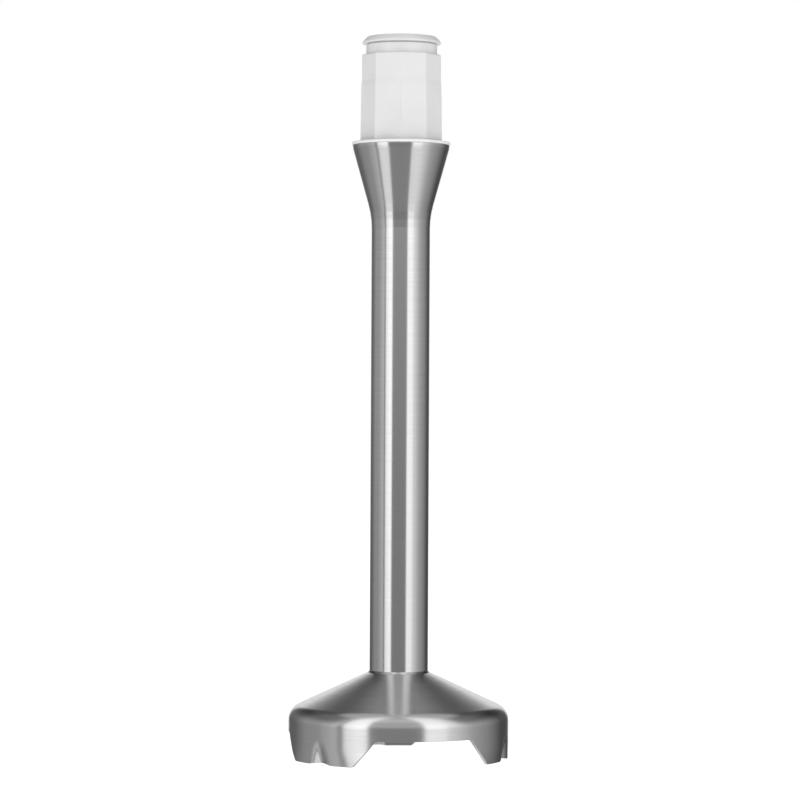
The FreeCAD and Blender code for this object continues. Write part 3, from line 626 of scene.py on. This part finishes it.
def make_plug():
    """The white plug, turned from its section and then given its flats and mould lines."""
    even = np.linspace(0, 2 * math.pi, 600, endpoint=False)
    fine = PLUG_TURN + np.linspace(-0.024, 0.024, 13)
    angle = all_round(np.concatenate([even, fine, fine + math.pi]))
    radius, height = repeated(plug_outline(), angle)
    faceted = (height > RING_GROOVE_BASE - 0.01) & (height < LEDGE + 0.01)
    faceted &= radius > NECK_RADIUS + 0.4
    cut_radius = plug_radius(angle, radius) - mould_line(angle, height)
    radius = np.where(faceted, cut_radius, radius)
    add_skin("drive_plug", angle, radius, height, "shaft_body", "white_plug", ["coupling_housing"])


# ---------------------------------------------------------------- the blade

def blade_edges(x):
    """The blade's lower and upper edge in Y along its length, the same after half a turn."""
    stations = [0, 3.5, 8.0, 12.0, 15.0, 18.5, 21.5, 23.0, BLADE_REACH]
    leading = [6.6, 7.2, 7.0, 6.6, 6.0, 5.0, 3.1, 1.4, -0.4]
    trailing = [-6.6, -6.6, -5.6, -5.0, -4.4, -3.6, -2.6, -1.6, -0.8]
    ahead = np.interp(np.abs(x), stations, leading)
    behind = np.interp(np.abs(x), stations, trailing)
    return np.where(x >= 0, behind, -ahead), np.where(x >= 0, ahead, -behind)


def blade_lift(x):
    """Height of the blade over its flat middle: one wing is bent up and the other down."""
    wing = BLADE_REACH - BLADE_FLAT_HALF
    rise = (BLADE_HIGH - HUB_BASE) / wing
    fall = (HUB_BASE - BLADE_THICK - BLADE_LOW) / wing
    beyond = np.clip(np.abs(x) - BLADE_FLAT_HALF, 0, None)
    return np.where(x < 0, rise * beyond, -fall * beyond)


def make_blade():
    """Two wings from one strip, ground to an edge on their leading sides."""
    sections, half_rows = 161, 17
    along = np.linspace(-1, 1, sections)
    x = np.sign(along) * BLADE_REACH * np.abs(along) ** 0.8
    low, high = blade_edges(x)
    lift = blade_lift(x)
    under, over = np.linspace(0, 1, half_rows), np.linspace(1, 0, half_rows)[1:-1]
    across = np.concatenate([under, over])
    is_over = np.arange(len(across)) >= half_rows
    rings = []
    for index in range(sections):
        y = low[index] + across * (high[index] - low[index])
        from_edge = y - low[index] if x[index] < 0 else high[index] - y
        thick = BLADE_THICK * np.where(is_over, np.clip(from_edge / GRIND_WIDTH, EDGE_SHARE, 1), 0)
        level = HUB_BASE - BLADE_THICK + thick + lift[index]
        rings.append(np.stack([np.full_like(y, x[index]), y, level], axis=1))
    rows = len(across)
    open_faces = (sections - 1) * rows
    faces = ring_faces(sections, rows)[:open_faces]
    faces.append(tuple(range(rows)))
    faces.append(tuple(reversed(range(open_faces, open_faces + rows))))
    add_piece("cutting_blade", np.concatenate(rings), faces, "rotor", "blade_steel", ["blade"])


# ---------------------------------------------------------------- studio

# The camera looks level at the shaft, and FRAME_WIDTH is the view's width at the shaft's axis.
CAMERA_AZIMUTH = math.radians(-13.4)
CAMERA_DISTANCE = 0.98
CAMERA_HEIGHT = 0.1073
CAMERA_ROLL = math.radians(-0.28)
FRAME_WIDTH = 0.2406
SENSOR_WIDTH = 36.0


def compass(azimuth, distance, height):
    """A point by its azimuth from the camera's side of the shaft, in degrees to the right."""
    bearing = CAMERA_AZIMUTH + math.radians(azimuth)
    return Vector((math.sin(bearing) * distance, -math.cos(bearing) * distance, height))


def make_camera():
    """A level camera with a long lens, turned a little about its own axis."""
    data = bpy.data.cameras.new("camera")
    data.sensor_width = SENSOR_WIDTH
    data.lens = SENSOR_WIDTH * CAMERA_DISTANCE / FRAME_WIDTH
    data.clip_start, data.clip_end = 0.01, 50.0
    camera = bpy.data.objects.new("camera", data)
    bpy.context.scene.collection.objects.link(camera)
    camera.location = compass(0, CAMERA_DISTANCE, CAMERA_HEIGHT)
    camera.rotation_euler = (math.pi / 2, CAMERA_ROLL, CAMERA_AZIMUTH)
    bpy.context.scene.camera = camera


def glow_material(name, attribute):
    """A lamp surface with its brightness in a colour attribute."""
    material = bpy.data.materials.new(name)
    material.use_nodes = True
    nodes, links = material.node_tree.nodes, material.node_tree.links
    nodes.clear()
    source = nodes.new("ShaderNodeAttribute")
    source.attribute_name = attribute
    emission = nodes.new("ShaderNodeEmission")
    emission.inputs["Strength"].default_value = 1.0
    links.new(source.outputs["Color"], emission.inputs["Color"])
    output = nodes.new("ShaderNodeOutputMaterial")
    links.new(emission.outputs[0], output.inputs["Surface"])
    return material


# The light tent by azimuth, in degrees to the right of the camera: the brightness of its wall at
# the shaft's level. The two bright stretches are strip softboxes, and the rest is diffusing cloth.
TENT_WALL = [
    (-180, 0.86), (-164, 0.82), (-160, 0.15), (-134, 0.20), (-124, 0.30), (-113, 0.42),
    (-90, 0.45), (-86, 0.53), (-78, 0.60), (-67, 0.72), (-65, 0.30), (-60, 0.30),
    (-58, 1.30), (-42, 1.66), (-33, 1.66), (-30, 0.26),
    (25, 0.26), (29, 1.60), (50, 1.45), (54, 1.05),
    (64, 0.90), (74, 0.72), (84, 0.56), (95, 0.47), (107, 0.38),
    (120, 0.24), (134, 0.10), (160, 0.12), (164, 0.82), (180, 0.86),
]
# How the wall's brightness changes with elevation: of its cloth, of what the strips add to it,
# and of the whole wall at the sides and at the back.
CLOTH_FADE = [
    (-48, 0.0), (-42, 0.90), (-25, 0.95), (-12, 0.84), (-6, 0.77), (-4, 0.87),
    (0, 1.0), (3, 1.05), (90, 1.05),
]
STRIP_FADE = [
    (-25, 0.0), (-6, 0.95), (0, 1.0), (4, 0.95), (30, 0.7), (50, 0.6), (75, 0.4), (90, 0.0),
]
SIDE_FADE = [(0, 1.0), (8, 1.0), (18, 0.65), (28, 0.40), (36, 0.35), (60, 0.0)]
BACK_FADE = [(0, 1.0), (10, 0.95), (18, 0.50), (30, 0.16), (36, 0.03), (60, 0.0)]
# What is added by elevation: over the camera, at the sides, at the back, and low right behind.
FRONT_TOP = [
    (-25, 0.06), (-16, 0.08), (-8, 0.03), (-4, -0.02), (0, -0.02), (3, 0.05), (8, 0.22),
    (12, 0.34), (20, 0.28), (35, 0.20), (50, 0.46), (62, 0.46), (75, 0.22), (90, 0.15),
]
SIDE_TOP = [(34, 0.0), (42, 0.10), (51, 0.10), (58, 0.55), (90, 0.55)]
BACK_TOP = [(29, 0.0), (36, 0.09), (51, 0.09), (58, 0.55), (90, 0.55)]
BACK_PATCH = [(7, 0.0), (16, 0.36), (28, 0.36), (33, 0.0)]
# The tent's foot by azimuth, below TENT_FOOT degrees of elevation.
TABLE_GLOW = [(-180, 0.2), (-150, 0.9), (40, 0.9), (90, 0.2), (180, 0.2)]
TENT_FOOT = -45
STRIP_LEVEL = 1.6
FRONT_SHARE = 1.3
TENT_RADIUS = 1.5
TENT_MIDDLE = 0.1
TENT_AZIMUTH_STEP = 1.5
TENT_ELEVATION_STEP = 3.0


def table_value(table, position):
    """A table's value at a position, in a straight line between its rows."""
    return float(np.interp(position, [row[0] for row in table], [row[1] for row in table]))


def tent_glow(azimuth, elevation):
    """Brightness of the tent in one direction from the shaft."""
    if elevation < TENT_FOOT:
        return table_value(TABLE_GLOW, azimuth)
    level = table_value(TENT_WALL, azimuth)
    wall = min(level, 1.0) * table_value(CLOTH_FADE, elevation)
    wall += max(level - 1.0, 0.0) * table_value(STRIP_FADE, elevation)
    front = wall + table_value(FRONT_TOP, elevation) * (STRIP_LEVEL - level) / FRONT_SHARE
    side = wall * table_value(SIDE_FADE, elevation) + table_value(SIDE_TOP, elevation)
    back = wall * table_value(BACK_FADE, elevation) + table_value(BACK_TOP, elevation)
    back += table_value(BACK_PATCH, elevation) * smooth_step((abs(azimuth) - 158) / 9)
    to_side = smooth_step((abs(azimuth) - 58) / 20)
    to_back = smooth_step((abs(azimuth) - 115) / 25)
    return float((1 - to_side) * front + (to_side - to_back) * side + to_back * back)


def make_tent():
    """A dome of diffusing cloth, which lights the shaft and is what its steel reflects."""
    azimuths = np.arange(-180, 181, TENT_AZIMUTH_STEP)
    elevations = np.arange(-90, 91, TENT_ELEVATION_STEP)
    points, glow, faces = [], [], []
    for azimuth in azimuths:
        for elevation in elevations:
            reach = TENT_RADIUS * math.cos(math.radians(elevation))
            height = TENT_MIDDLE + TENT_RADIUS * math.sin(math.radians(elevation))
            points.append(compass(azimuth, reach, height))
            glow.append(tent_glow(azimuth, elevation))
    rows = len(elevations)
    for column in range(len(azimuths) - 1):
        for row in range(rows - 1):
            corner = column * rows + row
            faces.append((corner, corner + rows, corner + rows + 1, corner + 1))
    mesh = bpy.data.meshes.new("light_tent")
    mesh.from_pydata(points, [], faces)
    colours = mesh.color_attributes.new("glow", "FLOAT_COLOR", "POINT")
    for entry, level in zip(colours.data, glow):
        entry.color = (level, level, level, 1)
    mesh.materials.append(glow_material("tent_glow", "glow"))
    tent = bpy.data.objects.new("light_tent", mesh)
    bpy.context.scene.collection.objects.link(tent)
    tent.visible_camera = False
    tent.visible_shadow = False


def make_floor():
    """A plain white table top, see-through from below so that the underside can be looked at."""
    mesh = bpy.data.meshes.new("table_top")
    half = 6.0
    corners = [(-half, -half, 0), (half, -half, 0), (half, half, 0), (-half, half, 0)]
    mesh.from_pydata(corners, [], [(0, 1, 2, 3)])
    floor = bpy.data.objects.new("table_top", mesh)
    bpy.context.scene.collection.objects.link(floor)
    material, nodes, links, shader = new_material("table_white")
    place = object_place(nodes)
    mottle = noise_node(nodes, links, place, 8.0)
    links.new(tint(nodes, links, mottle, (0.30, 0.30, 0.30), (0.31, 0.31, 0.31)),
              shader.inputs["Base Color"])
    shader.inputs["Roughness"].default_value = 0.9
    shader.inputs["Emission Color"].default_value = (1, 1, 1, 1)
    shader.inputs["Emission Strength"].default_value = 0.98
    clear = nodes.new("ShaderNodeBsdfTransparent")
    side = nodes.new("ShaderNodeNewGeometry").outputs["Backfacing"]
    mix = nodes.new("ShaderNodeMixShader")
    links.new(side, mix.inputs[0])
    links.new(shader.outputs[0], mix.inputs[1])
    links.new(clear.outputs[0], mix.inputs[2])
    links.new(mix.outputs[0], nodes["Material Output"].inputs["Surface"])
    mesh.materials.append(material)
    floor.visible_glossy = False
    floor.visible_shadow = False


def make_world():
    """White behind the object, and a dim grey room where the tent does not reach."""
    world = bpy.data.worlds.new("studio")
    bpy.context.scene.world = world
    world.use_nodes = True
    nodes, links = world.node_tree.nodes, world.node_tree.links
    nodes.clear()
    room = nodes.new("ShaderNodeBackground")
    room.inputs["Color"].default_value = (1, 1, 1, 1)
    room.inputs["Strength"].default_value = 0.14
    white = nodes.new("ShaderNodeBackground")
    white.inputs["Color"].default_value = (1, 1, 1, 1)
    white.inputs["Strength"].default_value = 1.0
    mix = nodes.new("ShaderNodeMixShader")
    links.new(nodes.new("ShaderNodeLightPath").outputs["Is Camera Ray"], mix.inputs[0])
    links.new(room.outputs[0], mix.inputs[1])
    links.new(white.outputs[0], mix.inputs[2])
    output = nodes.new("ShaderNodeOutputWorld")
    links.new(mix.outputs[0], output.inputs["Surface"])


# ---------------------------------------------------------------- the scene

dress_cad_nodes()
make_bell()
make_tube()
make_ring()
make_cap()
make_plug()
make_blade()

make_world()
make_tent()
make_floor()
make_camera()
bpy.context.scene.view_settings.view_transform = "Standard"
